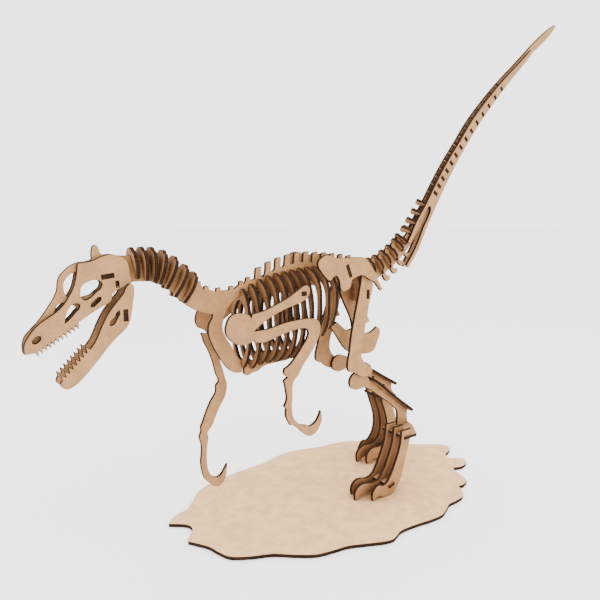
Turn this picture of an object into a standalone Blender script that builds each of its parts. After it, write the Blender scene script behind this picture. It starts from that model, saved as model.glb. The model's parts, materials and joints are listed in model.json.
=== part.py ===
"""Push-fit dinosaur skeleton: flat sheet parts that interlock in slots, standing on a base board.

The animal faces -X and its left side is -Y. The origin is on the underside of the base board,
in the skeleton's middle plane, below the hips. Outlines are written in millimetres.
"""
import math

import bmesh
import bpy
from mathutils import Matrix, Vector

# Driving dimensions, in millimetres
MM = 0.001
SHEET = 3.0                       # thickness of every sheet part
GAP = 0.3                         # air between neighbouring parts
SLOT = SHEET + 2 * GAP            # width of a slot that takes a sheet part
LAYER = SHEET + GAP               # step between plates that lie face to face
BASE_TOP = SHEET
SOLE = BASE_TOP + GAP

NECK_WIDTH = 20.0
ARM_Y = 27.0
PELVIS_Y = 24.3
THIGH_Y = PELVIS_Y - LAYER
SHIN_Y = THIGH_Y - LAYER
JAW_Y = 6.6
TOE_Y = (43.4, 32.4, 21.4)        # outer, middle and inner toe plates
TOE_REACH = (0.0, 13.0, 8.0)

RIB_COUNT = 11
RIB_FIRST_X = -161.75
RIB_PITCH = 8.5
RIB_CLOSED = 8                    # the first ribs reach the belly bar, the last hang free
RIB_BAND = 4.2

BAR_X = RIB_FIRST_X + 5.5 * RIB_PITCH
BAR_Z = 212.0
BAR_WIDTH = 4.8

HIP_FRONT = (-61.5, 228.0)
HIP_FRONT_TILT = -22.0
HIP_FRONT_TAB = 12.0
HIP_REAR = (-34.5, 203.6)
HIP_REAR_TAB = 8.0

ROD_Y = 3.4
TAIL_TAB_COUNT = 14
TAIL_TAB_HEIGHTS = (6.2, 4.6)     # of the cross plates' tabs, at the lower and upper end

SEGMENTS = 2                      # steps between two points of a smooth outline

# Stations of the plates across the neck: place on the neck's top edge, and lean from upright
NECK_STATIONS = (
    (-256.0, 250.0, -10.0),
    (-248.5, 250.0, -7.0),
    (-241.0, 249.5, -2.0),
    (-232.5, 247.0, 10.0),
    (-224.0, 242.0, 20.0),
    (-215.5, 235.0, 24.0),
    (-208.0, 228.5, 24.0),
)
NECK_DEPTHS = (17.5, 19.5, 20.5, 20.5, 20.5, 21.0, 19.5)

# Stations of the plates across the tail root, on its top edge
TAIL_STATIONS = (
    (-13.0, 226.0, -16.0),
    (-2.5, 229.0, -26.0),
    (7.5, 233.8, -32.0),
    (17.0, 239.4, -38.0),
    (26.0, 246.0, -43.0),
    (31.6, 251.4, -48.0),
)
# Further places on the tail root where the spine plate is slotted for smaller cross plates
TAIL_ROOT_SLOTS = (
    (40.0, 260.4, -52.0),
    (47.0, 269.4, -54.0),
    (54.0, 278.8, -56.0),
    (61.0, 288.6, -58.0),
)


class Corner(tuple):
    """An outline point that stays sharp. Plain tuples are smooth."""


def corner(x, z):
    return Corner((x, z))


def corners(*points):
    return [Corner(point) for point in points]


def turned(point, angle):
    """A point turned about the origin, degrees anticlockwise."""
    c = math.cos(math.radians(angle))
    s = math.sin(math.radians(angle))
    return (point[0] * c - point[1] * s, point[0] * s + point[1] * c)


def moved(points, x, z, angle=0.0):
    """Outline points turned by an angle and then shifted."""
    out = []
    for point in points:
        u, v = turned(point, angle)
        kind = Corner if isinstance(point, Corner) else tuple
        out.append(kind((u + x, v + z)))
    return out


def rectangle(x, z, width, height, angle=0.0):
    w = width / 2
    h = height / 2
    return moved(corners((-w, -h), (w, -h), (w, h), (-w, h)), x, z, angle)


def oval(x, z, width, height, angle=0.0):
    w = width / 2
    h = height / 2
    return moved([(-w, 0), (0, -h), (w, 0), (0, h)], x, z, angle)


def between(start, end, t):
    return (start[0] + (end[0] - start[0]) * t, start[1] + (end[1] - start[1]) * t)


def teeth(start, end, count, drop):
    """Saw teeth from start to end; drop is the vector from the gum to a tooth's tip."""
    out = []
    for i in range(count):
        root = between(start, end, i / count)
        back = between(start, end, (i + 0.88) / count)
        middle = between(root, back, 0.5)
        out.append(corner(*root))
        out.append(corner(middle[0] + drop[0], middle[1] + drop[1]))
        out.append(corner(*back))
    out.append(corner(*end))
    return out


def fresh_scene():
    for obj in list(bpy.data.objects):
        bpy.data.objects.remove(obj, do_unlink=True)
    parts = bpy.data.collections.new("dinosaur_skeleton_puzzle")
    cutters = bpy.data.collections.new("cutters")
    bpy.context.scene.collection.children.link(parts)
    bpy.context.scene.collection.children.link(cutters)
    return parts, cutters


PARTS, CUTTERS = fresh_scene()


def board_material(name, colour):
    material = bpy.data.materials.new(name)
    material.use_nodes = True
    shader = material.node_tree.nodes["Principled BSDF"]
    shader.inputs["Base Color"].default_value = (*colour, 1.0)
    shader.inputs["Roughness"].default_value = 0.75
    shader.inputs["Metallic"].default_value = 0.0
    return material


def frame(origin, x_axis, y_axis):
    """The placement whose local X and Y run along the given world directions."""
    x = Vector(x_axis).normalized()
    y = Vector(y_axis).normalized()
    z = x.cross(y)
    matrix = Matrix((x, y, z)).transposed().to_4x4()
    matrix.translation = Vector(origin) * MM
    return matrix


def upright(y):
    """A plate in the animal's length, at a given distance from the middle plane."""
    return frame((0, y, 0), (1, 0, 0), (0, 0, 1))


def across(x, z, lean=0.0):
    """A plate across the animal; its up direction leans by an angle towards +X."""
    s = math.sin(math.radians(lean))
    c = math.cos(math.radians(lean))
    return frame((x, 0, z), (0, 1, 0), (s, 0, c))


def flat(z):
    return frame((0, 0, z), (1, 0, 0), (0, 1, 0))


def plate(name, outline, placement, holes=(), colour=(0.62, 0.45, 0.30), thickness=SHEET):
    """A sheet part: a filled 2D curve with its holes, welded into a closed mesh."""
    curve = bpy.data.curves.new(name, "CURVE")
    curve.dimensions = "2D"
    curve.fill_mode = "BOTH"
    curve.extrude = thickness / 2 * MM
    curve.resolution_u = SEGMENTS
    for loop in (outline, *holes):
        spline = curve.splines.new("BEZIER")
        spline.bezier_points.add(len(loop) - 1)
        spline.use_cyclic_u = True
        spline.resolution_u = SEGMENTS
        for target, point in zip(spline.bezier_points, loop):
            handle = "VECTOR" if isinstance(point, Corner) else "AUTO"
            target.co = (point[0] * MM, point[1] * MM, 0.0)
            target.handle_left_type = handle
            target.handle_right_type = handle
    drawn = bpy.data.objects.new(name + "_curve", curve)
    PARTS.objects.link(drawn)
    drawn.matrix_world = placement
    bpy.context.view_layer.update()
    evaluated = drawn.evaluated_get(bpy.context.evaluated_depsgraph_get())
    mesh = bpy.data.meshes.new_from_object(evaluated)
    mesh.name = name
    welded = bmesh.new()
    welded.from_mesh(mesh)
    bmesh.ops.remove_doubles(welded, verts=welded.verts, dist=0.01 * MM)
    bmesh.ops.recalc_face_normals(welded, faces=welded.faces)
    welded.to_mesh(mesh)
    welded.free()
    solid = bpy.data.objects.new(name, mesh)
    PARTS.objects.link(solid)
    solid.matrix_world = drawn.matrix_world
    bpy.data.objects.remove(drawn, do_unlink=True)
    bpy.data.curves.remove(curve)
    mesh.materials.clear()
    mesh.materials.append(board_material(name + "_board", colour))
    return solid


def cut_slot(target, centre, size, lean=0.0):
    """Cut a box out of an upright plate; size is along the lean's side and up directions."""
    bpy.ops.mesh.primitive_cube_add(size=1.0)
    cutter = bpy.context.object
    cutter.name = "slot_in_" + target.name
    cutter.data.transform(Matrix.Diagonal((size[0] * MM, 4 * SHEET * MM, size[1] * MM, 1.0)))
    cutter.location = (centre[0] * MM, target.location.y, centre[1] * MM)
    cutter.rotation_euler = (0.0, math.radians(lean), 0.0)
    for collection in list(cutter.users_collection):
        collection.objects.unlink(cutter)
    CUTTERS.objects.link(cutter)
    cutter.hide_render = True
    cutter.display_type = "WIRE"
    cut = target.modifiers.new(cutter.name, "BOOLEAN")
    cut.operation = "DIFFERENCE"
    cut.solver = "EXACT"
    cut.object = cutter


def slot_along(target, x, z, lean, low, high):
    """Cut a slot that takes a sheet part across, from low to high along its up direction."""
    s = math.sin(math.radians(lean))
    c = math.cos(math.radians(lean))
    middle = (low + high) / 2
    cut_slot(target, (x + s * middle, z + c * middle), (SLOT, high - low), lean)


def profile(table, x):
    """The height of an edge at x, by straight lines between its own points."""
    for (x0, z0), (x1, z1) in zip(table, table[1:]):
        if x0 <= x <= x1:
            return z0 + (z1 - z0) * (x - x0) / (x1 - x0)
    return table[0][1] if x < table[0][0] else table[-1][1]


# --- Base board -------------------------------------------------------------------------------

def toe_tab(side):
    """The x range of the tab that each toe plate drops into the base board."""
    return (-29.0, -20.0) if side < 0 else (27.0, 36.0)


def build_base():
    outline = [
        corner(-221, 34), (-210, 44), (-197, 48), (-186, 58), (-170, 75), (-152, 82),
        (-120, 88), (-83, 91), (-45, 99), (-5, 89), (29, 84), (62, 60), (92, 28),
        (112, 14), (120, 4), (116, -6), corner(101, -13), (95, -20), corner(98, -25),
        (107, -31), (105, -38), (96, -44), (88, -45), corner(79, -42), corner(74, -49),
        (72, -58), (66, -70), corner(56, -74), corner(50, -73), (44, -82), (34, -90),
        (13, -92), (-8, -101), (-36, -99), (-60, -98), (-74, -103), (-90, -98),
        (-112, -88), (-141, -82), (-170, -60), (-201, -42), (-208, -20),
        corner(-219, -2), corner(-215, 4), (-208, 12), (-207, 20), corner(-210, 25),
    ]
    holes = []
    for side in (-1, 1):
        low, high = toe_tab(side)
        for y in TOE_Y:
            holes.append(rectangle((low + high) / 2, side * y, high - low + 2 * GAP, SLOT))
    plate("base_plate", outline, flat(SHEET / 2), holes, colour=(0.78, 0.62, 0.46))


# --- Spine plate ------------------------------------------------------------------------------

BACK_UNDERSIDE = ((-169, 208), (-152, 215.5), (-142, 219.5), (-132, 222), (-99, 226), (-70, 226))
BELLY_TOP = ((-167, 158.5), (-162, 153), (-156, 150), (-148, 152), (-141, 153.5),
             (-121, 152.5), (-100, 154.5))
SPINE_TOPS = ((-149, 233.5), (-137, 238.5), (-125, 242), (-113, 244.5), (-103, 245.5),
              (-93, 245), (-73, 243), (-50, 240.5), (-24, 234))


def dorsal_spines():
    """Slanted teeth along the top of the back, in order from the shoulders to the hips."""
    out = []
    for i in range(12):
        x = -148.0 + 10.3 * i
        top = profile(SPINE_TOPS, x)
        root = top - 9.3
        out += corners((x, root), (x + 0.8, top - 0.6), (x + 1.6, top), (x + 6.6, top + 0.8),
                       (x + 6.2, root + 1.6), (x + 8.2, root + 0.9))
    return out


def neck_bumps():
    out = []
    for x, z in ((-202.0, 223.0), (-195.0, 219.0), (-184.0, 216.6), (-171.5, 217.0),
                 (-162.0, 220.6), (-155.0, 223.4)):
        out += corners((x - 2.2, z), (x - 1.8, z + 3.0), (x + 1.8, z + 3.4), (x + 2.4, z + 0.4))
    return out


def chevron(x, z, angle, size):
    """A boot-shaped spur below the tail, listed from front to back."""
    shape = [Corner((0, 0)), (1.0, -7.0), (2.6, -9.0), (8.0, -7.6), (7.4, -5.2), (4.6, -3.4),
             Corner((4.4, 0))]
    return moved([type(p)((p[0] * size, p[1] * size)) for p in shape], x, z, angle)


def tail_lobe(x, z, angle):
    """A rounded spine between two plates across the tail, listed from back to front."""
    return moved([Corner((2.6, 0)), (2.9, 5.5), (1.5, 8.0), (-1.0, 7.8), (-2.2, 5.0),
                  Corner((-2.2, 0))], x, z, angle)


def build_spine():
    neck_and_chest = [
        corner(-268.7, 231), (-258, 230.4), (-246, 230), (-236, 228), (-228, 222.5),
        (-221, 215), (-213, 208), (-203, 202), (-196, 199.4), corner(-189.5, 198),
        corner(-190, 195), (-193, 190), (-194, 183), (-191.5, 174), (-186, 163),
        (-180, 153.5), (-174, 146.5), (-168, 143.6), corner(-162.3, 143.4),
        corner(-162.1, 147.3), corner(-160.5, 146.9), corner(-160.2, 141), (-157.5, 139.4),
        (-152, 141), (-146, 142), (-140, 145.2), (-130, 146.2), (-116, 147), (-104, 149),
        (-98, 150.6), (-96, 153), (-98.5, 155.5), (-106, 154.6), (-121, 152.6),
        (-135, 153.6), (-143, 153.4), (-149, 151.6), (-156, 150), (-162, 153),
        (-167, 158.5), (-172.5, 168), (-178, 177), (-180.8, 185), (-179, 194),
        (-175, 202), (-169, 208), (-160, 212.5), (-151, 216), (-142, 219.5),
        (-132, 222), (-116, 224.5), (-99, 226), (-80, 225.6), (-62, 222.5),
        (-45, 217), (-30, 213.2), (-16, 211.4),
    ]
    chevrons = [corner(-8, 212.4), corner(2.2, 201.6), corner(5.2, 202.6), corner(-3, 214.0)]
    chevrons += chevron(4.4, 217.8, 26, 1.05)
    chevrons += chevron(15.2, 223.6, 32, 1.0)
    chevrons += chevron(25.4, 230.0, 38, 0.85)
    chevrons += chevron(34.4, 237.4, 44, 0.75)
    tail_end = [(44.5, 247.4), (52, 257), (60, 268), (67.5, 280.5), corner(72.4, 290.0),
                corner(66.6, 293.6)]
    tail_top = [(58, 283.0), corner(48.5, 270.4)]
    for x, z, angle in ((40.6, 261.2, 50), (30.2, 250.0, 45), (21.7, 242.6, 40),
                        (12.4, 236.6, 34), (2.6, 231.2, 29), (-7.6, 227.4, 20)):
        tail_top += tail_lobe(x, z, angle)
    tail_top += [(-17, 226.6), corner(-24.5, 226.8)]
    back_top = dorsal_spines()
    back_top.reverse()
    bumps = neck_bumps()
    bumps.reverse()
    neck_top = [(-211.5, 231.6), (-219.5, 238.6), (-228.5, 244.6), (-237, 248.4),
                (-245, 249.8), (-252, 250.2), (-262, 250.6), corner(-268.7, 251)]
    outline = neck_and_chest + chevrons + tail_end + tail_top + back_top + bumps + neck_top
    spine = plate("spine_plate", outline, upright(0), colour=(0.60, 0.43, 0.28))
    for x, z, lean in NECK_STATIONS:
        slot_along(spine, x, z, lean, -5.0, 6.0)
    for x, z, lean in TAIL_STATIONS:
        slot_along(spine, x, z, lean, -3.4, 9.0)
    for x, z, lean in TAIL_ROOT_SLOTS:
        slot_along(spine, x, z, lean, -2.6, 9.0)
    for x in rib_places():
        slot_along(spine, x, profile(BACK_UNDERSIDE, x), 0, -4.0, 3.2)
    for x in rib_places()[:RIB_CLOSED]:
        slot_along(spine, x, profile(BELLY_TOP, x), 0, -2.4, 7.0)
    slot_along(spine, *HIP_FRONT, HIP_FRONT_TILT, -14.0, 0.0)
    slot_along(spine, HIP_REAR[0], 213.0, 0, -6.0, 5.0)


def rib_places():
    return [RIB_FIRST_X + RIB_PITCH * i for i in range(RIB_COUNT)]


# --- Plates across the neck and the tail ------------------------------------------------------

def straddling_plate(name, station, width, above, below, solid_from):
    """A lobed plate across a spine: a slot from below lets its legs straddle the spine."""
    x, z, lean = station
    w = width / 2
    half = SLOT / 2
    right = [
        corner(half, solid_from), corner(half, -below), corner(half + 2.8, -below),
        (w * 0.66, -below + 4.0), (w * 0.96, -below * 0.45), (w, 0.0), (w * 0.84, above * 0.5),
        (w * 0.56, above * 0.64), (w * 0.36, above * 0.93),
    ]
    left = [type(p)((-p[0], p[1])) for p in reversed(right)]
    plate(name, right + [(0, above)] + left, across(x, z, lean), colour=(0.52, 0.36, 0.22))


def build_vertebrae():
    for i, (station, depth) in enumerate(zip(NECK_STATIONS, NECK_DEPTHS)):
        width = NECK_WIDTH - 3.0 * (i == 0)
        straddling_plate(f"neck_vertebra_{i + 1}", station, width, 6.6, depth, -5.0 + GAP)
    for i, station in enumerate(TAIL_STATIONS):
        below = (11.0, 11.0, 11.0, 10.0, 6.6, 4.8)[i]
        straddling_plate(f"tail_vertebra_{i + 1}", station, 17.0 - 0.6 * i, 10.5, below,
                         -3.4 + GAP)


# --- Ribs -------------------------------------------------------------------------------------

RIB_HALF_WIDTHS = (15.5, 18.5, 21.0, 22.8, 24.0, 24.6, 24.8, 24.8, 25.4, 26.4, 27.0)
FREE_RIB_TIPS = (163.0, 168.0, 174.0)


def rib_sides(width, top, bottom):
    """One side of a rib's outer edge, from its top to its bottom, as shares of its size."""
    height = top - bottom
    return [(width * u, top - height * v) for u, v in
            ((0.58, 0.07), (0.90, 0.24), (1.0, 0.46), (0.93, 0.68), (0.66, 0.88))]


def mirrored(points):
    return [type(p)((-p[0], p[1])) for p in reversed(points)]


def closed_rib(name, x, width):
    top_cut = profile(BACK_UNDERSIDE, x) + 3.2
    low_cut = profile(BELLY_TOP, x) - 2.4
    top = top_cut + 2.6
    bottom = low_cut - 2.6
    half = SLOT / 2
    right = [corner(half, top_cut - GAP), corner(half, top), corner(half + 2.4, top)]
    right += rib_sides(width, top, bottom)
    right += [corner(half + 2.4, bottom), corner(half, bottom), corner(half, low_cut + GAP)]
    inner = rib_sides(width - RIB_BAND, top - 11.0, bottom + 7.4)
    hole = inner + [(0, bottom + 6.6)] + mirrored(inner) + [(0, top - 9.6)]
    plate(name, right + mirrored(right), across(x, 0), [hole], colour=(0.45, 0.30, 0.19))


def free_rib(name, x, width, tip):
    top_cut = profile(BACK_UNDERSIDE, x) + 3.2
    top = top_cut + 2.6
    half = SLOT / 2
    outer = [(width * 0.58, top - 4.0), (width * 0.92, top - 14.0), (width, top - 28.0),
             (width * 0.90, tip + 12.0)]
    inner = [(width * 0.90 - RIB_BAND, tip + 13.0), (width - RIB_BAND, top - 27.0),
             (width * 0.90 - RIB_BAND, top - 18.0), (width * 0.50, top - 12.0)]
    right = [corner(half, top_cut - GAP), corner(half, top), corner(half + 2.4, top)]
    right += outer + [corner(width * 0.62, tip)] + inner
    plate(name, right + [(0, top - 9.8)] + mirrored(right), across(x, 0),
          colour=(0.45, 0.30, 0.19))


def build_ribs():
    for i, (x, width) in enumerate(zip(rib_places(), RIB_HALF_WIDTHS)):
        name = f"rib_{i + 1:02d}"
        if i < RIB_CLOSED:
            closed_rib(name, x, width)
        else:
            free_rib(name, x, width, FREE_RIB_TIPS[i - RIB_CLOSED])


# --- Skull and jaw ----------------------------------------------------------------------------

KEY = (-276.5, 236.4, 9.0, 3.0, 6.0)      # x, z, width, height, turn of the skull's cross key
JAW_BAR = (-265.5, 206.5, 3.0, 8.4)


def key_hole():
    x, z, width, height, turn = KEY
    return rectangle(x, z, width + 2 * GAP, height + 2 * GAP, turn)


def build_skull():
    centre = [
        corner(-336.5, 186), (-336.8, 191), (-335, 198), (-329, 204), (-318.5, 217),
        (-312, 228), (-310.5, 236), (-306, 242), (-296, 247.6), (-291, 247.6),
        (-288.2, 246.8), corner(-286.6, 249), (-286.2, 255.5), (-284, 259.5), (-281.6, 258.4),
        (-280.4, 253.8), (-277, 251.6), corner(-269.0, 250.8), corner(-269.0, 228),
        (-279, 223.5), (-288, 216), (-296, 208), (-306, 200), (-318, 190.5),
        corner(-330, 185.6),
    ]
    brow = [(-307.2, 229.5), (-304.6, 237), (-298, 240.6), (-290.5, 239.2), (-284.4, 236.6),
            (-281.6, 231.4), (-285, 225.6), (-294, 222.4), (-302.6, 221.4)]
    nose = [corner(-315, 210.4), (-312.4, 217.6), (-308.6, 219.4), (-303, 217.4),
            (-299, 214.6), (-300.6, 210.4), (-305, 206.6), (-310, 206.6)]
    plate("skull_centre", centre, upright(0), [brow, nose, key_hole()],
          colour=(0.56, 0.39, 0.25))
    side = [
        corner(-336.2, 186), (-336.2, 192), (-333.4, 197.8), (-325, 206.6), (-315, 212.6),
        (-308, 218.8), (-304.2, 224.4), (-301.4, 229), (-299.4, 235), corner(-298.4, 239.4),
        corner(-297.2, 246.8), (-292, 247.4), (-287, 248.2), (-277, 251.8), (-267, 250.8),
        (-261.4, 246), (-260, 238), corner(-258.6, 230.0), (-264.5, 228), (-270, 225.8),
        corner(-273.6, 223), (-275.2, 217.8), (-281, 214.6), (-288, 211), corner(-297.6, 205.4),
    ]
    side += teeth((-299, 204.4), (-330, 186.4), 11, (1.2, -4.2))
    holes = [
        oval(-328.0, 195.4, 7.4, 4.4, 38),
        [(-296.6, 226), (-295.2, 230.6), (-290.6, 233.4), (-284.8, 234.2), (-280.4, 231),
         (-285.6, 225), (-290.4, 221.2), (-294.8, 220.4)],
        oval(-286.0, 218.2, 10.6, 3.6, 40),
        rectangle(-269.6, 230.0, 2.8, 5.0, 4),
        [corner(-308.8, 204.6), (-307.4, 210.6), (-304.4, 216.4), (-300.6, 218.6),
         (-297.2, 217), (-300.6, 212), (-305, 207.4)],
        key_hole(),
    ]
    for name, side_y in (("skull_left", -LAYER), ("skull_right", LAYER)):
        plate(name, side, upright(side_y), holes, colour=(0.64, 0.47, 0.32))
    x, z, width, height, turn = KEY
    plate("skull_key", rectangle(0, 0, width, height, turn), upright_at(x, z), (),
          (0.30, 0.18, 0.10), 2 * (LAYER + SHEET / 2))


def upright_at(x, z):
    return frame((x, 0, z), (1, 0, 0), (0, 0, 1))


def build_jaw():
    outline = [
        (-262.4, 229.4), (-259.8, 229.6), (-258.2, 226.6), (-259.4, 217), (-261, 208),
        (-262.8, 201), (-266, 196.4), (-274, 189.8), (-282, 181.8), (-292, 170.6),
        (-300.6, 162.6), (-306, 158.6), (-311, 157.6), (-314.6, 160), corner(-314.4, 163.2),
    ]
    outline += teeth((-313.4, 164.2), (-292.6, 184.6), 8, (-1.9, 3.0))
    outline += [(-289.4, 188.4), (-285.4, 196), (-281.4, 204), (-277, 210.8), (-271, 217.8),
                (-266.4, 223)]
    x, z, width, height = JAW_BAR
    holes = [
        rectangle(x, z, width + 2 * GAP, height + 2 * GAP),
        [(-270.2, 210.8), (-272, 204.4), (-277.2, 199.6), (-278, 201.4), (-274, 206.2)],
    ]
    for name, side_y in (("jaw_left", -JAW_Y), ("jaw_right", JAW_Y)):
        plate(name, outline, upright(side_y), holes, colour=(0.68, 0.51, 0.36))
    plate("jaw_bar", rectangle(0, 0, width, height), upright_at(x, z), (),
          (0.32, 0.20, 0.12), 2 * (JAW_Y + SHEET / 2))


# --- Shoulders and arms -----------------------------------------------------------------------

SHOULDER = [
    corner(-166.5, 185.0), (-155, 192.4), (-135, 200.4), (-119, 204.6), (-111.6, 208.0),
    (-108.6, 213.6), (-110.6, 218.4), (-114.4, 219.0), (-118.6, 217.0), (-130, 210.8),
    (-145, 204.8), (-158, 200.8), corner(-167.4, 199.6), corner(-168.6, 196.2),
    corner(-170.4, 199.2), (-178, 201.4), (-187, 200.4), (-191.6, 193.6), (-192.4, 187),
    (-189.4, 181.6), (-181, 175.6),
]


def build_arms():
    slot = rectangle(BAR_X, BAR_Z, BAR_WIDTH + 2 * GAP, SLOT)
    bent = [
        (-169, 176.2), corner(-166.6, 177.8), corner(-164.8, 175.6), (-156, 174.4),
        (-143, 177.6), (-130, 180.2), (-118, 181.6), (-111.6, 180.0), (-110, 175.6),
        (-116, 166), (-123, 157.6), (-130.4, 150.6), corner(-135.6, 148), (-136.4, 144.4),
        corner(-132.4, 139.8), corner(-136.4, 137.4), (-134, 126), (-133.6, 119),
        corner(-136.4, 114), corner(-134.2, 111.4), (-134.4, 105), (-132, 99.4),
        corner(-129.6, 95.0), corner(-126.4, 95.2), (-121, 90), (-114.6, 84), (-109, 80.4), (-101, 82.4),
        (-96.6, 87.6), (-94.4, 94), corner(-96, 102.0), (-98.6, 96.0), (-103, 91.4),
        (-108.4, 90), (-112, 91.6), (-117.6, 93.2), (-122.6, 96.6), (-126.4, 102),
        (-128, 110), (-127.4, 122), (-126.4, 134.6), (-121.6, 139.4), (-116.6, 147),
        (-106, 159.6), (-98.6, 171.4), (-96.6, 179.4), (-99.4, 186.6), (-107, 189.2),
        (-120, 189.4), (-136, 188.4), (-152, 185.4),
    ]
    straight = [
        (-187, 177.0), corner(-186.4, 173.4), (-184.6, 167.4), (-180.4, 159), (-176.4, 147.4),
        (-173.4, 136), (-171.4, 130.2), corner(-174.4, 126.6), (-174.6, 120.4), (-179.6, 113),
        (-184.6, 103.4), (-188.2, 95), corner(-190.4, 90.4), (-190.2, 86.4), (-192, 81.4),
        (-190.4, 75), (-190.2, 66), (-191.2, 58), (-190.2, 48), (-187.6, 40), (-182.4, 34),
        (-176, 29.4), (-169.6, 31), (-166, 38), corner(-164.4, 49), (-168.2, 43.4),
        (-171.8, 39.2), (-176.4, 38.6), (-181.6, 42.6), (-184.4, 49), (-185.2, 60),
        (-184.6, 71), (-183.2, 80), (-184, 84), (-180.4, 87.6), (-176.4, 95),
        (-171.4, 105), (-166.8, 111.6), (-163.8, 119), (-163, 126), (-164.6, 132),
        (-167, 141), (-170.6, 153), (-171.6, 163), (-169.6, 172), (-167.4, 178),
    ]
    for name, side_y, lower in (("arm_left", -ARM_Y, bent), ("arm_right", ARM_Y, straight)):
        plate(name, SHOULDER + lower, upright(side_y), [slot], colour=(0.70, 0.53, 0.39))
    length = 2 * (ARM_Y + SHEET / 2)
    plate("shoulder_bar", rectangle(BAR_X, 0, BAR_WIDTH, length), flat(BAR_Z),
          colour=(0.32, 0.20, 0.12))


# --- Hips and legs ----------------------------------------------------------------------------

def build_pelvis():
    outline = [
        (-97.6, 236.4), (-94, 241.4), (-88, 243.8), (-82, 242.8), (-76, 240.8), (-62, 240.2),
        (-47, 240.2), (-41, 238.2), (-34, 231), (-27, 222.4), (-25.4, 218.8), (-29, 216.6),
        (-36, 218.4), (-42, 222), (-47, 223), (-53.4, 221.4), (-57.6, 219.4), (-59.4, 213.4),
        (-64, 210.2), (-70, 210.4), (-72, 217), (-74.4, 223), (-77.4, 224.8),
        (-80.6, 223), (-83.4, 220.6), (-88.4, 223.6), (-94.4, 230.4),
    ]
    slit = rectangle(*HIP_FRONT, SLOT, HIP_FRONT_TAB + 2 * GAP, -HIP_FRONT_TILT)
    for name, side_y in (("pelvis_left", -PELVIS_Y), ("pelvis_right", PELVIS_Y)):
        plate(name, outline, upright(side_y), [slit], colour=(0.76, 0.59, 0.44))
    half = SLOT / 2
    reach = PELVIS_Y + SHEET / 2
    shoulder = PELVIS_Y - SHEET / 2 - GAP
    tab = HIP_FRONT_TAB / 2
    right = corners((half, -GAP), (half, 9.0), (7.0, 9.0), (9.0, tab), (reach, tab),
                    (reach, -tab), (shoulder, -tab), (shoulder - 4.0, -10.0), (5.0, -13.0))
    plate("hip_plate_front", right + mirrored(right), across(*HIP_FRONT, HIP_FRONT_TILT),
          colour=(0.42, 0.27, 0.16))
    top = 218.0 - GAP - HIP_REAR[1]
    tab = HIP_REAR_TAB / 2
    reach = THIGH_Y + SHEET / 2
    right = corners((half, top), (half, top + 5.0), (7.0, top + 5.0), (13.0, tab),
                    (reach, tab), (reach, -tab), (11.0, -tab), (8.0, -8.6),
                    (half, -8.6), (half, -1.6))
    plate("hip_plate_rear", right + mirrored(right), across(*HIP_REAR),
          colour=(0.42, 0.27, 0.16))
    pubis = [
        corner(-53, 210.6), (-51, 204), (-46.6, 194), (-41, 184), (-36.4, 174),
        corner(-35, 166.6), (-42, 165.8), (-48, 169.6), corner(-55.4, 175.6),
        corner(-63, 171.2), (-56, 162.4), (-49.4, 153), (-42.4, 145.4), (-32, 140.4),
        (-22, 138.6), (-11, 138.4), (-4.6, 141), (-0.4, 150), (2.8, 157.6),
        (1, 162.8), corner(-2.2, 164.6), (-6.6, 161.4), (-12, 159.4), (-19, 160.2),
        (-23.4, 165.4), (-25.6, 176), (-27.4, 190), (-26, 202), corner(-25.6, 210.6),
    ]
    pubis_plate = plate("pubis_plate", pubis, upright(0), colour=(0.55, 0.38, 0.25))
    slot_along(pubis_plate, HIP_REAR[0], HIP_REAR[1], 0, -1.6 - GAP, 12.0)


def build_thighs():
    outline = [
        corner(-42.4, 225), (-43.4, 216), (-46, 203), (-49, 189.6), (-52.4, 175),
        (-55, 161.4), (-56.6, 149), (-58.6, 138), (-57.6, 131.6), (-54, 129.2),
        (-49.6, 128.2), (-44, 124.4), (-36, 122), (-29.6, 123.2), (-26.6, 127.6),
        (-33.6, 133.6), (-40.6, 141.6), (-41.8, 150), (-40, 160), (-37.8, 168),
        corner(-36.6, 175.6), corner(-31.2, 176.6), corner(-34.6, 182.6), (-33, 193),
        (-30, 203), (-28.2, 211), (-29.4, 218), corner(-31, 225),
    ]
    slot = rectangle(*HIP_REAR, SLOT, HIP_REAR_TAB + 2 * GAP)
    about_hip = moved(outline, -HIP_REAR[0], -HIP_REAR[1])
    for name, side_y, swing in (("thigh_left", -THIGH_Y, 0.0), ("thigh_right", THIGH_Y, -5.5)):
        swung = moved(about_hip, HIP_REAR[0], HIP_REAR[1], swing)
        plate(name, swung, upright(side_y), [slot], colour=(0.72, 0.55, 0.40))


# A shin in its own frame: the top edge runs along +X from the knee, and z is 0 on that edge
SHIN_LENGTH = 62.0
LUGS = ((-4.0, 9.0), (14.0, 8.0))          # start and length of each lug on the shin's top edge
LUG_HEIGHT = 6.4
CALF_HALF_WIDTH = 7.6
ANKLE_TABS = {"left": (17.0, 25.0), "right": (33.0, 40.0)}
KNEES = {"left": (-21.0, 111.5, -37.5), "right": (-13.8, 123.3, -31.0)}


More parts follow.
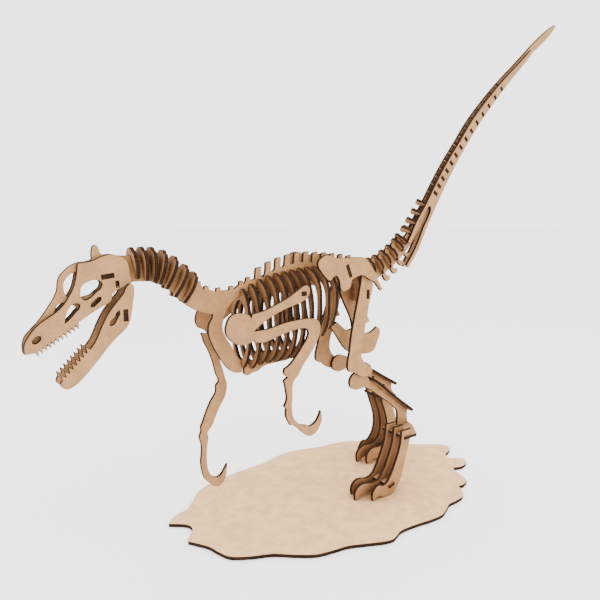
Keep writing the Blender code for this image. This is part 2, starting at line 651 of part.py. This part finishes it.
def shin_outline(name):
    """A shin plate from its knee head to its ankle block, which drops a tab in the foot."""
    x, z, slope = KNEES[name]
    sole = ANKLES[name][1] + SHEET / 2 + GAP
    low, high = ANKLE_TABS[name]
    block = corners((high + 4.0, sole), (high, sole), (high, sole - SHEET),
                    (low, sole - SHEET), (low, sole), (low - 4.0, sole))
    block = moved(moved(block, -x, -z), 0, 0, -slope)
    lugs = []
    for start, length in LUGS:
        lugs += corners((start, 0), (start, LUG_HEIGHT), (start + length, LUG_HEIGHT),
                        (start + length, 0))
    end = SHIN_LENGTH
    knee = [
        (end - 13.0, -8.2), (end - 20.0, -6.6), (end - 32.0, -6.2), (end - 48.0, -6.6),
        (-2.0, -7.4), (-9.4, -9.2), (-15.9, -15.0), (-22.0, -17.4), (-28.4, -15.6),
        (-31.2, -9.4), (-28.4, -2.4), (-20.0, 1.0), (-13.0, 1.6),
    ]
    return [corner(-8.0, 0.0)] + lugs + [corner(end, 0), (end + 3.0, -5.0)] + block + knee


def build_shins():
    for side, name in ((-1, "left"), (1, "right")):
        x, z, slope = KNEES[name]
        matrix = frame((x, side * SHIN_Y, z), turned3(slope), turned3(slope + 90))
        plate(f"shin_{name}", shin_outline(name), matrix, colour=(0.66, 0.48, 0.34))
        lift = GAP + SHEET / 2
        up = turned3(slope + 90)
        origin = (x + up[0] * lift, side * SHIN_Y, z + up[2] * lift)
        board = [
            corner(-7.4, -4.0), (-4.0, -CALF_HALF_WIDTH), (20.0, -CALF_HALF_WIDTH + 1.4),
            (SHIN_LENGTH - 14.0, -CALF_HALF_WIDTH + 1.4), corner(SHIN_LENGTH + 1.0, -CALF_HALF_WIDTH),
            corner(SHIN_LENGTH + 1.0, CALF_HALF_WIDTH), (SHIN_LENGTH - 14.0, CALF_HALF_WIDTH - 1.4),
            (20.0, CALF_HALF_WIDTH - 1.4), (-4.0, CALF_HALF_WIDTH), corner(-7.4, 4.0),
        ]
        slots = []
        for start, length in LUGS:
            slots.append(rectangle(start + length / 2, 0, length + 2 * GAP, SLOT))
        plate(f"calf_board_{name}", board, frame(origin, turned3(slope), (0, 1, 0)), slots,
              colour=(0.36, 0.23, 0.14))


def turned3(angle):
    return (math.cos(math.radians(angle)), 0.0, math.sin(math.radians(angle)))


# --- Feet -------------------------------------------------------------------------------------

ANKLES = {"left": (1.0, 58.4), "right": (30.0, 77.5)}      # where the ankle board crosses
HEELS = {"left": (29.0, 12.5), "right": (14.5, 12.0)}      # the board's reach behind that point
TOE_BARS = {"left": (-19.5, 13.6), "right": (38.0, 14.4)}


def toe_outline(name, reach):
    """A toe plate: foot bone, toe and claw in one, with a tab for the base board."""
    low, high = toe_tab(-1 if name == "left" else 1)
    tab = corners((high, SOLE), (high, GAP), (low, GAP), (low, SOLE))
    if name == "left":
        back = [corner(7.6, 66), (5.4, 54), (1.6, 42), (-1.6, 31), (-4.6, 20), (-10, 10.6),
                (-15.6, 5.2)]
        claw = [
            (-33.5, 5.2), (-36.5 - reach * 0.7, 6.4), corner(-40.6 - reach, SOLE),
            corner(-43.4 - reach, SOLE), (-44 - reach, 9), (-41.4 - reach, 14.6),
            (-36 - reach * 0.8, 17.4), (-31 - reach * 0.4, 15.6),
        ]
        front = [(-26, 16.4), (-20.6, 22), (-16, 30), (-11.6, 40), (-7.6, 51),
                 corner(-5.6, 66)]
    else:
        back = [corner(37.4, 83), (43.4, 68), (49.6, 52), (51.6, 40), (49, 29), (45.4, 18),
                (41.4, 8)]
        claw = [
            (24.6, 5.4), (22.6 - reach * 0.7, 6.6), corner(19.4 - reach, SOLE),
            corner(16.6 - reach, SOLE), (15.4 - reach, 10), (18.4 - reach, 16.6),
            (23 - reach * 0.7, 20), (28 - reach * 0.2, 19.4),
        ]
        front = [(32.6, 23), (37, 31), (38.4, 40), (36.4, 53), (31, 67), corner(25, 83)]
    return back + tab + claw + front


def build_feet():
    for side, name in ((-1, "left"), (1, "right")):
        ankle_x, ankle_z = ANKLES[name]
        bar_x, bar_z = TOE_BARS[name]
        bar_hole = rectangle(bar_x, bar_z, 7.0 + 2 * GAP, SLOT, 20)
        for title, y, reach in zip(("outer", "middle", "inner"), TOE_Y, TOE_REACH):
            toe = plate(f"toe_{name}_{title}", toe_outline(name, reach), upright(side * y),
                        [bar_hole], colour=(0.62, 0.44, 0.30))
            cut_slot(toe, (ankle_x + 10.0, ankle_z), (20.0, SLOT))
        far = side * (TOE_Y[0] + SHEET)
        near = side * (SHIN_Y - SHEET / 2 - 2.0)
        heel, heel_outer = HEELS[name]
        board = corners((ankle_x - 4.0, far), (ankle_x - 4.0, near), (ankle_x + heel, near),
                        (ankle_x + heel, near + side * 7), (ankle_x + heel_outer, far))
        if side > 0:
            board.reverse()
        low, high = ANKLE_TABS[name]
        hole = rectangle((low + high) / 2, side * SHIN_Y, high - low + 2 * GAP, SLOT)
        board_plate = plate(f"ankle_board_{name}", board, flat(ankle_z), [hole],
                            colour=(0.55, 0.38, 0.25))
        for y in TOE_Y:
            notch_board(board_plate, (ankle_x - 6.0 + GAP, side * y, ankle_z))
        length = TOE_Y[0] - TOE_Y[-1] + 2 * SHEET
        middle = side * (TOE_Y[0] + TOE_Y[-1]) / 2
        matrix = frame((bar_x, middle, bar_z), (1, 0, 0), (0, 0, 1))
        plate(f"toe_bar_{name}", rectangle(0, 0, 7.0, SHEET, 20), matrix, (),
              (0.36, 0.23, 0.14), length)


def notch_board(target, centre):
    """Cut a notch that is open to the front of a level board."""
    bpy.ops.mesh.primitive_cube_add(size=1.0)
    cutter = bpy.context.object
    cutter.name = "notch_in_" + target.name
    cutter.data.transform(Matrix.Diagonal((12.0 * MM, SLOT * MM, 4 * SHEET * MM, 1.0)))
    cutter.location = Vector(centre) * MM
    for collection in list(cutter.users_collection):
        collection.objects.unlink(cutter)
    CUTTERS.objects.link(cutter)
    cutter.hide_render = True
    cutter.display_type = "WIRE"
    cut = target.modifiers.new(cutter.name, "BOOLEAN")
    cut.operation = "DIFFERENCE"
    cut.solver = "EXACT"
    cut.object = cutter


# --- Tail -------------------------------------------------------------------------------------

TAIL_TABS_START = (76.3, 300.3)
TAIL_TABS_MIDDLE = (108.2, 350.0)
TAIL_TABS_END = (181.2, 418.2)



def tail_tab_place(t):
    """A point on the arc of cross plates, from its lower end at 0 to its upper end at 1."""
    a = between(TAIL_TABS_START, TAIL_TABS_MIDDLE, t)
    b = between(TAIL_TABS_MIDDLE, TAIL_TABS_END, t)
    return between(a, b, t)


def tail_tab_turn(t):
    """The direction of the tail there, in degrees up from +X."""
    a = between(TAIL_TABS_START, TAIL_TABS_MIDDLE, t)
    b = between(TAIL_TABS_MIDDLE, TAIL_TABS_END, t)
    return math.degrees(math.atan2(b[1] - a[1], b[0] - a[0]))


def tail_tab_height(t):
    return TAIL_TAB_HEIGHTS[0] + (TAIL_TAB_HEIGHTS[1] - TAIL_TAB_HEIGHTS[0]) * t


def tail_tab_holes():
    holes = []
    for i in range(TAIL_TAB_COUNT):
        t = i / (TAIL_TAB_COUNT - 1)
        x, z = tail_tab_place(t)
        height = tail_tab_height(t) + 2 * GAP
        holes.append(rectangle(x, z, SLOT, height, tail_tab_turn(t)))
    return holes


def build_tail():
    lower = [
        corner(38.6, 223.4), (42.2, 227.6), (49.0, 236.0), (55.4, 245.8), (60.6, 256.0),
        (66.0, 266.5), (72.2, 276.9), (79.0, 288.0), (88.6, 303.4), (103.0, 324.6),
        (115.4, 341.6), (128.6, 358.2), (147.8, 380.4), (171.6, 404.7), (186.8, 419.2),
        (204.6, 435.6),
    ]
    upper = [
        (192.2, 434.4), (172.2, 417.8), (155.8, 402.9), (131.8, 379.2), (114.1, 357.6),
        (100.4, 341.4), (86.6, 323.8), (72.4, 303.4), (62.6, 288.6), (54.0, 277.2),
        (46.4, 266.4), (41.6, 257.6), corner(36.8, 250.0), corner(39.6, 248.4),
        (44.8, 256.2), (49.8, 265.6), (57.4, 276.4), (64.2, 284.4), (67.4, 286.8),
        (69.8, 285.4), (67.4, 276.8), (61.0, 266.6), (55.8, 256.4), (50.0, 245.6),
        (43.2, 235.4), corner(35.4, 225.6),
    ]
    short_end = [(226.4, 454.6), corner(238.0, 465.4), corner(234.4, 468.4), (217.9, 454.6)]
    long_end = [(226.4, 454.6), (246, 467.4), (262.0, 478.4), (276, 489.0), (287.6, 499.8),
                corner(292.4, 505.0), corner(289.4, 506.4), (273.4, 497.0), (258, 486.2),
                (243.2, 475.0), (217.9, 454.6)]
    for name, side_y, end in (("tail_rod_left", -ROD_Y, short_end),
                              ("tail_rod_right", ROD_Y, long_end)):
        plate(name, lower + end + upper, upright(side_y), tail_tab_holes(),
              colour=(0.72, 0.55, 0.40))
    x, z = tail_tab_place(0.0)
    low = tail_tab_height(0.0) / 2
    inside = ROD_Y - SHEET / 2 - GAP
    reach = ROD_Y + SHEET / 2
    right = corners((inside, -low), (reach, -low), (reach, low), (inside, low))
    right += [corner(inside, 6.8), (inside - 0.7, 7.8)]
    plate("tail_cross_plate", right + mirrored(right),
          across(x, z, -tail_tab_turn(0.0)), colour=(0.30, 0.19, 0.12))


def main():
    build_base()
    build_spine()
    build_vertebrae()
    build_ribs()
    build_skull()
    build_jaw()
    build_arms()
    build_pelvis()
    build_thighs()
    build_shins()
    build_feet()
    build_tail()


main()
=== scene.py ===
"""The looks of the push-fit dinosaur skeleton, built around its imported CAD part.

Every CAD board is redrawn from its own outline as a finer board: rounded outline, softened
rims, pale fibreboard faces and scorched laser-cut edges. Small boards past the CAD's node
limit, such as the cross boards between the tail rods, are added here.
"""
import json
import math

import bmesh
import bpy
from mathutils import Matrix, Vector

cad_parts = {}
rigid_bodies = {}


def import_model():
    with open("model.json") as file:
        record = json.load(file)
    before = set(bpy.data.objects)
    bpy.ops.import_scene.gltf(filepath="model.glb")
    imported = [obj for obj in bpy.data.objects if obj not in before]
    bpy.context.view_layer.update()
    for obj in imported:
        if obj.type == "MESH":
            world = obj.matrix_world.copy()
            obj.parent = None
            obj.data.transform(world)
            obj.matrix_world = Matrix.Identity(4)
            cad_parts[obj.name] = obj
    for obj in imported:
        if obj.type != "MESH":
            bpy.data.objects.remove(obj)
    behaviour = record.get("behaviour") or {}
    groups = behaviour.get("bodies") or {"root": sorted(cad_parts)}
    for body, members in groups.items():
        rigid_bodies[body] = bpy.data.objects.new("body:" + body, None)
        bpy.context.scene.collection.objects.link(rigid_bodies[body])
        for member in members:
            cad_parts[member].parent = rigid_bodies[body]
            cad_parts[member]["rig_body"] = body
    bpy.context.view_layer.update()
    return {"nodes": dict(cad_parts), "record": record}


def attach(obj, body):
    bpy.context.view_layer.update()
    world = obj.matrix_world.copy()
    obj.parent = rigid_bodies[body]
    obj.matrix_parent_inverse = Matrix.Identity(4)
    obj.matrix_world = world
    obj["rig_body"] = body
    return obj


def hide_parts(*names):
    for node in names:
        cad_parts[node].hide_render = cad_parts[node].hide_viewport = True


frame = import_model()

MM = 0.001
SHEET = 3.0 * MM
RIM = 0.12 * MM                  # the chamfer on every board's rim
SCORCH = 0.75 * MM               # how far the brown scorch reaches from a cut edge
NARROWER = (1.0, 0.55, 0.3, 0.0)  # shares of SCORCH, tried in turn until the walls have room
CORNER = 36.0                    # an outline turning by more than this stays sharp, degrees
STRAIGHT = 0.6                   # and one turning by less than this is straight, degrees
STEP = 1.1 * MM                  # spacing of points on a redrawn outline
MOST_STEPS = 8                   # points between two of the CAD's own points, at most
WELD = 2e-6                      # points closer than this are one point
TINY = 1e-6                      # a step along an outline shorter than this is none
ALIKE = 0.9999                   # the cosine between the normals of faces in one plane
AREA_LOSS = 0.001                # the share of a face's area that its ring may change
FLAT = 1e-5                      # points this close to a board's face lie on it

# How fine each pattern in the wood is, in the noise texture's own scale
MOTTLE = 90.0
FIBRES = 620.0
GRAIN = 1900.0
SCORCH_EDGE = 210.0
EDGE_STREAKS = 800.0
EDGE_PATCHES = 60.0


# --- Materials --------------------------------------------------------------------------------

def new_material(name):
    material = bpy.data.materials.new(name)
    material.use_nodes = True
    nodes = material.node_tree.nodes
    for node in list(nodes):
        nodes.remove(node)
    out = nodes.new("ShaderNodeOutputMaterial")
    shader = nodes.new("ShaderNodeBsdfPrincipled")
    material.node_tree.links.new(shader.outputs["BSDF"], out.inputs["Surface"])
    return material, nodes, material.node_tree.links, shader


def noise(nodes, links, coordinates, scale, detail, roughness):
    node = nodes.new("ShaderNodeTexNoise")
    node.inputs["Scale"].default_value = scale
    node.inputs["Detail"].default_value = detail
    node.inputs["Roughness"].default_value = roughness
    links.new(coordinates, node.inputs["Vector"])
    return node.outputs["Fac"]


def ramp(nodes, links, value, stops):
    node = nodes.new("ShaderNodeValToRGB")
    elements = node.color_ramp.elements
    while len(elements) < len(stops):
        elements.new(0.5)
    for element, (place, colour) in zip(elements, stops):
        element.position = place
        element.color = (*colour, 1.0)
    links.new(value, node.inputs["Fac"])
    return node.outputs["Color"]


def mix(nodes, links, factor, a, b, blend="MIX"):
    node = nodes.new("ShaderNodeMix")
    node.data_type = "RGBA"
    node.blend_type = blend
    if isinstance(factor, (int, float)):
        node.inputs[0].default_value = factor
    else:
        links.new(factor, node.inputs[0])
    for socket, value in ((node.inputs[6], a), (node.inputs[7], b)):
        if isinstance(value, tuple):
            socket.default_value = (*value, 1.0)
        else:
            links.new(value, socket)
    return node.outputs[2]


def times(nodes, links, value, factor):
    node = nodes.new("ShaderNodeMath")
    node.operation = "MULTIPLY"
    links.new(value, node.inputs[0])
    if isinstance(factor, float):
        node.inputs[1].default_value = factor
    else:
        links.new(factor, node.inputs[1])
    return node.outputs[0]


def roughen(nodes, links, shader, height, strength, depth):
    bump = nodes.new("ShaderNodeBump")
    bump.inputs["Strength"].default_value = strength
    bump.inputs["Distance"].default_value = depth
    links.new(height, bump.inputs["Height"])
    links.new(bump.outputs["Normal"], shader.inputs["Normal"])


def with_painted_shade(nodes, links, colour):
    """Painted shade: the colour of faces closed in by other boards is darkened towards brown."""
    closeness = nodes.new("ShaderNodeAmbientOcclusion")
    closeness.inputs["Distance"].default_value = 30.0 * MM
    closeness.samples = 8
    # painted shade: the ambient occlusion darkens the colour in closed-in places
    painted_shade_tint = ramp(nodes, links, closeness.outputs["AO"],
                 ((0.10, (0.30, 0.22, 0.17)), (0.80, (1.0, 1.0, 1.0))))
    return mix(nodes, links, 1.0, colour, painted_shade_tint, "MULTIPLY")


def face_material(name, tone):
    """Pale fibreboard: soft mottling, fine dark fibres, and a brown scorch along cut edges."""
    material, nodes, links, shader = new_material(name)
    coordinates = nodes.new("ShaderNodeTexCoord").outputs["Object"]
    dark = tuple(c * 0.86 for c in tone)
    light = tuple(min(1.0, c * 1.07) for c in tone)
    mottle = noise(nodes, links, coordinates, MOTTLE, 4.0, 0.6)
    colour = ramp(nodes, links, mottle, ((0.36, dark), (0.64, light)))
    fibre = noise(nodes, links, coordinates, FIBRES, 5.0, 0.72)
    fleck = ramp(nodes, links, fibre, ((0.30, (0.55, 0.48, 0.42)), (0.46, (1.0, 1.0, 1.0))))
    colour = mix(nodes, links, 0.75, colour, fleck, "MULTIPLY")
    grain = noise(nodes, links, coordinates, GRAIN, 2.0, 0.6)
    pale = ramp(nodes, links, grain, ((0.40, (0.90, 0.88, 0.86)), (0.62, (1.05, 1.04, 1.03))))
    colour = mix(nodes, links, 0.6, colour, pale, "MULTIPLY")
    scorch = nodes.new("ShaderNodeAttribute")
    scorch.attribute_name = "scorch"
    wander = noise(nodes, links, coordinates, SCORCH_EDGE, 3.0, 0.6)
    reach = times(nodes, links, scorch.outputs["Fac"], scorch.outputs["Fac"])
    reach = times(nodes, links, reach, wander)
    reach = times(nodes, links, reach, 1.15)
    burnt = tuple(c * k for c, k in zip(tone, (0.30, 0.22, 0.16)))
    colour = mix(nodes, links, reach, colour, burnt)
    # painted shade: faces closed in by other boards are darkened in their colour
    colour = with_painted_shade(nodes, links, colour)
    links.new(colour, shader.inputs["Base Color"])
    shader.inputs["Roughness"].default_value = 0.72
    shader.inputs["Specular IOR Level"].default_value = 0.12
    roughen(nodes, links, shader, fibre, 0.22, 0.2 * MM)
    return material


def edge_material(name, deep, warm):
    """A laser-cut edge: charred brown with fine streaks."""
    material, nodes, links, shader = new_material(name)
    coordinates = nodes.new("ShaderNodeTexCoord").outputs["Object"]
    streaks = noise(nodes, links, coordinates, EDGE_STREAKS, 3.0, 0.6)
    colour = ramp(nodes, links, streaks, ((0.34, deep), (0.70, warm)))
    patches = noise(nodes, links, coordinates, EDGE_PATCHES, 2.0, 0.5)
    shade = ramp(nodes, links, patches, ((0.35, (0.70, 0.70, 0.70)), (0.65, (1.25, 1.2, 1.15))))
    colour = mix(nodes, links, 0.8, colour, shade, "MULTIPLY")
    links.new(colour, shader.inputs["Base Color"])
    shader.inputs["Roughness"].default_value = 0.85
    shader.inputs["Specular IOR Level"].default_value = 0.06
    roughen(nodes, links, shader, streaks, 0.35, 0.15 * MM)
    return material


TONES = {
    "base_board": (0.640, 0.385, 0.190),
    "spine_board": (0.330, 0.172, 0.070),
    # the rib boards' darker tone is painted shade for the closed-in rib cage
    "rib_board": (0.230, 0.108, 0.040),
    "head_board": (0.340, 0.180, 0.076),
    "arm_board": (0.335, 0.176, 0.074),
    "leg_board": (0.335, 0.176, 0.074),
    "tail_board": (0.350, 0.190, 0.082),
}
FACES = {name: face_material("face_of_" + name, tone) for name, tone in TONES.items()}
EDGE = edge_material("burnt_edge", (0.006, 0.003, 0.002), (0.034, 0.016, 0.008))


# --- Redrawing a board ------------------------------------------------------------------------

def board_plane(mesh):
    """The board's face direction: the one that most of its area faces."""
    faces = sorted(mesh.faces, key=lambda face: face.calc_area(), reverse=True)[:12]
    best, best_area = None, 0.0
    for face in faces:
        alike = [f for f in mesh.faces if f.normal.dot(face.normal) > ALIKE]
        area = sum(f.calc_area() for f in alike)
        if area > best_area * 1.0001:
            total = Vector((0.0, 0.0, 0.0))
            for f in alike:
                total += f.normal * f.calc_area()
            best, best_area = total.normalized(), area
    return best


def cap_loops(mesh, normal):
    """The closed outlines of the board's face on its normal side."""
    top = max(v.co.dot(normal) for v in mesh.verts)
    cap = [f for f in mesh.faces if all(v.co.dot(normal) > top - FLAT for v in f.verts)]
    inside = set(cap)
    steps = {}
    for face in cap:
        for loop in face.loops:
            other = loop.link_loop_radial_next
            if other.face not in inside:
                steps.setdefault(loop.vert, []).append(loop.link_loop_next.vert)
    loops = []
    while steps:
        start = next(iter(steps))
        loop = [start]
        here = steps[start].pop()
        if not steps[start]:
            del steps[start]
        while here != start:
            loop.append(here)
            following = steps[here].pop()
            if not steps[here]:
                del steps[here]
            here = following
        loops.append([v.co.copy() for v in loop])
    return loops, top


def without_straights(points):
    """Drop points that lie on the straight line between their neighbours."""
    kept = []
    for i, point in enumerate(points):
        before = point - points[i - 1]
        after = points[(i + 1) % len(points)] - point
        if before.length < TINY:
            continue
        if after.length > TINY and before.angle(after) < math.radians(STRAIGHT):
            continue
        kept.append(point)
    return kept


def is_sharp(points, i):
    before = points[i] - points[i - 1]
    after = points[(i + 1) % len(points)] - points[i]
    return before.angle(after) > math.radians(CORNER)


def tangent(points, i, chord, sharp):
    """The direction of the outline at a point, as long as the chord that it is used on."""
    if sharp:
        return chord.copy()
    before = (points[i] - points[i - 1]).normalized()
    after = (points[(i + 1) % len(points)] - points[i]).normalized()
    return (before + after).normalized() * chord.length


def smooth_outline(points):
    """A finer outline through the same points: round stretches curve, sharp corners stay."""
    points = without_straights(points)
    sharp = [is_sharp(points, i) for i in range(len(points))]
    out = []
    for i, p in enumerate(points):
        j = (i + 1) % len(points)
        q = points[j]
        chord = q - p
        if (sharp[i] and sharp[j]) or chord.length < 0.9 * STEP:
            out.append(p)
            continue
        start = tangent(points, i, chord, sharp[i])
        end = tangent(points, j, chord, sharp[j])
        count = min(MOST_STEPS, max(1, math.ceil(chord.length / STEP)))
        for s in range(count):
            t = s / count
            near = 2 * t ** 3 - 3 * t ** 2 + 1
            leave = t ** 3 - 2 * t ** 2 + t
            far = -2 * t ** 3 + 3 * t ** 2
            arrive = t ** 3 - t ** 2
            out.append(p * near + start * leave + q * far + end * arrive)
    return out


def face_area(mesh, top):
    """The area of both faces of a board, without its rims and edges."""
    return sum(f.calc_area() for f in mesh.faces if all(abs(v.co.z) > top for v in f.verts))


def ring_faces(mesh, top, width):
    """Give both faces a ring along every cut edge, and fill what lies inside it again."""
    for side in (-1, 1):
        caps = [f for f in mesh.faces if all(v.co.z * side > top for v in f.verts)]
        bmesh.ops.inset_region(mesh, faces=caps, thickness=width, use_even_offset=False,
                               use_boundary=True)
        inside = set(caps)
        rim = [e for e in mesh.edges if sum(f in inside for f in e.link_faces) == 1]
        bmesh.ops.delete(mesh, geom=caps, context="FACES_KEEP_BOUNDARY")
        bmesh.ops.triangle_fill(mesh, use_beauty=True, use_dissolve=False, edges=rim,
                                normal=(0.0, 0.0, side))


def filled_curve(name, outlines, thickness):
    """The mesh of a filled curve through the outlines, with a chamfered rim on both faces."""
    curve = bpy.data.curves.new(name, "CURVE")
    curve.dimensions = "2D"
    curve.fill_mode = "BOTH"
    curve.extrude = thickness / 2 - RIM
    curve.bevel_depth = RIM
    curve.bevel_resolution = 0
    curve.offset = -RIM
    for outline in outlines:
        spline = curve.splines.new("POLY")
        spline.points.add(len(outline) - 1)
        spline.use_cyclic_u = True
        for target, point in zip(spline.points, outline):
            target.co = (point[0], point[1], 0.0, 1.0)
    drawn = bpy.data.objects.new(name + "_curve", curve)
    bpy.context.scene.collection.objects.link(drawn)
    bpy.context.view_layer.update()
    evaluated = drawn.evaluated_get(bpy.context.evaluated_depsgraph_get())
    data = bpy.data.meshes.new_from_object(evaluated)
    bpy.data.objects.remove(drawn, do_unlink=True)
    bpy.data.curves.remove(curve)
    data.name = name
    return data


def ringed_mesh(data, top):
    """The board's mesh with the widest ring that fits, and whether there is a ring at all."""
    for share in NARROWER:
        mesh = bmesh.new()
        mesh.from_mesh(data)
        bmesh.ops.remove_doubles(mesh, verts=mesh.verts, dist=WELD)
        whole = face_area(mesh, top)
        if share == 0.0:
            return mesh, False
        ring_faces(mesh, top, share * SCORCH)
        if abs(face_area(mesh, top) - whole) < AREA_LOSS * whole:
            return mesh, True
        mesh.free()


def burn(mesh, top, scorched):
    """Faces take the first material and edges the second; the scorch starts at the edges."""
    layer = mesh.verts.layers.float.new("scorch")
    for f in mesh.faces:
        flat = all(v.co.z > top for v in f.verts) or all(v.co.z < -top for v in f.verts)
        f.material_index = 0 if flat else 1
        f.smooth = False
    for vert in mesh.verts:
        at_edge = any(f.material_index for f in vert.link_faces)
        vert[layer] = 1.0 if scorched and at_edge else 0.0


def board_from_outlines(name, outlines, placement, thickness, face):
    """A board drawn as a filled, chamfered curve, with scorched faces and burnt edges."""
    data = filled_curve(name, outlines, thickness)
    top = thickness / 2 - FLAT
    mesh, scorched = ringed_mesh(data, top)
    bmesh.ops.recalc_face_normals(mesh, faces=mesh.faces)
    burn(mesh, top, scorched)
    data.materials.append(face)
    data.materials.append(EDGE)
    mesh.to_mesh(data)
    mesh.free()
    data.transform(placement)
    board = bpy.data.objects.new(name, data)
    bpy.context.scene.collection.objects.link(board)
    return board


def redraw(node, obj, slot):
    """A finer board in place of a CAD board, from the outlines of the CAD board's face."""
    mesh = bmesh.new()
    mesh.from_mesh(obj.data)
    bmesh.ops.remove_doubles(mesh, verts=mesh.verts, dist=WELD)
    bmesh.ops.recalc_face_normals(mesh, faces=mesh.faces)
    mesh.normal_update()
    normal = board_plane(mesh)
    loops, top = cap_loops(mesh, normal)
    bottom = min(v.co.dot(normal) for v in mesh.verts)
    mesh.free()
    u = normal.orthogonal().normalized()
    v = normal.cross(u)
    placement = Matrix((u, v, normal)).transposed().to_4x4()
    placement.translation = normal * ((top + bottom) / 2)
    outlines = []
    for loop in loops:
        outlines.append(smooth_outline([Vector((p.dot(u), p.dot(v))) for p in loop]))
    return board_from_outlines("board_" + node, outlines, placement, top - bottom, FACES[slot])


SLOTS = {entry["node"]: entry["material_slot"] for entry in frame["record"]["subparts"]}


def build_boards():
    for node, obj in frame["nodes"].items():
        slot = SLOTS[node]
        board = redraw(node, obj, slot)
        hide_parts(node)
        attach(board, obj["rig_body"])


# --- Small boards past the CAD's node limit, in millimetres --------------------------------------

ROD_Y = 3.4                      # from the middle of the tail to the middle of each rod
GAP = 0.3
TAB_HEIGHTS = (6.2, 4.6)         # at the lower and upper end of the tail
CROSS_BOARDS = 14
CROSS_SHOULDER = 6.8             # the height of the first cross board's sides
CROSS_TOP = 7.8                  # and of its top edge
CROSS_START = (76.3, 300.3)
CROSS_MIDDLE = (108.2, 350.0)
CROSS_END = (181.2, 418.2)
ROOT_WIDTH = 6.6                 # half the width of the first board on the tail root
ROOT_TOP = ((0.0, 9.2),)         # the point in the middle of their top edge
ROOT_BOARDS = ((40.0, 260.4, -52.0), (47.0, 269.4, -54.0), (54.0, 278.8, -56.0),
               (61.0, 288.6, -58.0))


def between(a, b, t):
    return tuple(p + (q - p) * t for p, q in zip(a, b))


def across(x, z, lean):
    """A board across the animal, its up direction leaning by an angle towards +X."""
    s = math.sin(math.radians(lean))
    c = math.cos(math.radians(lean))
    return Matrix(((0.0, s, c, x * MM), (1.0, 0.0, 0.0, 0.0), (0.0, c, -s, z * MM),
                   (0.0, 0.0, 0.0, 1.0)))


def both_sides(right, middle=()):
    """A mirrored outline in metres, from its right side and the points on its middle line."""
    left = [(-y, v) for y, v in reversed(right)]
    points = [Vector((y * MM, v * MM)) for y, v in list(right) + list(middle) + left]
    return smooth_outline(points)


def build_tail_cross_boards():
    """The cross boards that hold the rods apart; the first of them is a CAD board."""
    inside = ROD_Y - SHEET / MM / 2 - GAP
    reach = ROD_Y + SHEET / MM / 2
    for i in range(1, CROSS_BOARDS):
        t = i / (CROSS_BOARDS - 1)
        a = between(CROSS_START, CROSS_MIDDLE, t)
        b = between(CROSS_MIDDLE, CROSS_END, t)
        x, z = between(a, b, t)
        turn = math.degrees(math.atan2(b[1] - a[1], b[0] - a[0]))
        low = (TAB_HEIGHTS[0] + (TAB_HEIGHTS[1] - TAB_HEIGHTS[0]) * t) / 2
        right = [(inside, -low), (reach, -low), (reach, low), (inside, low),
                 (inside, CROSS_SHOULDER - t), (inside - 0.7, CROSS_TOP - t)]
        board = board_from_outlines(f"tail_cross_board_{i + 1}", [both_sides(right)],
                                    across(x, z, -turn), SHEET, FACES["tail_board"])
        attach(board, "tail")


def build_tail_root_boards():
    """Small vertebra boards that drop in the spine board's last notches."""
    for i, (x, z, lean) in enumerate(ROOT_BOARDS):
        w = ROOT_WIDTH - 0.4 * i
        right = [(1.5, -2.2), (1.5, 0.5), (w, 0.5), (w + 0.4, 2.6), (w - 0.6, 5.4),
                 (w - 3.2, 6.6), (w - 4.0, 8.6)]
        board = board_from_outlines(f"tail_root_board_{i + 1}", [both_sides(right, ROOT_TOP)],
                                    across(x, z, lean), SHEET, FACES["spine_board"])
        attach(board, "skeleton")


# --- Studio -----------------------------------------------------------------------------------

def build_sky():
    world = bpy.data.worlds.new("studio")
    bpy.context.scene.world = world
    world.use_nodes = True
    background = world.node_tree.nodes["Background"]
    background.inputs["Color"].default_value = (1.0, 1.0, 1.0, 1.0)
    background.inputs["Strength"].default_value = 3.2


def build_floor():
    mesh = bpy.data.meshes.new("floor")
    maker = bmesh.new()
    bmesh.ops.create_grid(maker, x_segments=1, y_segments=1, size=6.0)
    maker.to_mesh(mesh)
    maker.free()
    material, _, _, shader = new_material("white_sweep")
    shader.inputs["Base Color"].default_value = (0.93, 0.93, 0.93, 1.0)
    shader.inputs["Roughness"].default_value = 0.9
    mesh.materials.append(material)
    floor = bpy.data.objects.new("floor", mesh)
    floor.location = (0.0, 0.0, -0.4 * MM)
    bpy.context.scene.collection.objects.link(floor)


def softbox(name, place, target, size, power):
    light = bpy.data.lights.new(name, "AREA")
    light.shape = "RECTANGLE"
    light.size = size[0]
    light.size_y = size[1]
    light.energy = power
    lamp = bpy.data.objects.new(name, light)
    bpy.context.scene.collection.objects.link(lamp)
    lamp.location = place
    aim = Vector(target) - Vector(place)
    lamp.rotation_euler = aim.to_track_quat("-Z", "Y").to_euler()


def build_studio():
    build_sky()
    build_floor()
    softbox("overhead", (0.0, -0.3, 1.7), (0.0, 0.0, 0.1), (1.6, 1.6), 18.0)
    softbox("camera_left", (-1.5, -0.6, 0.9), (-0.05, 0.0, 0.2), (0.9, 1.2), 5.0)
    softbox("camera_right", (0.9, -1.4, 0.7), (0.0, 0.0, 0.2), (0.9, 1.2), 4.0)


CAMERA_PLACE = (-0.413, -0.4325, 0.288)
CAMERA_AZIMUTH = math.radians(36.0)
CAMERA_DIP = math.atan2(95.0, 585.0)
CAMERA_LENS = 35.1


def build_camera():
    look = Vector((math.sin(CAMERA_AZIMUTH) * math.cos(CAMERA_DIP),
                   math.cos(CAMERA_AZIMUTH) * math.cos(CAMERA_DIP), -math.sin(CAMERA_DIP)))
    data = bpy.data.cameras.new("camera")
    data.sensor_width = 36.0
    data.lens = CAMERA_LENS
    data.clip_start = 0.02
    data.clip_end = 40.0
    camera = bpy.data.objects.new("camera", data)
    camera.location = CAMERA_PLACE
    camera.rotation_euler = look.to_track_quat("-Z", "Y").to_euler()
    bpy.context.scene.collection.objects.link(camera)
    bpy.context.scene.camera = camera


build_boards()
build_tail_cross_boards()
build_tail_root_boards()
build_studio()
build_camera()
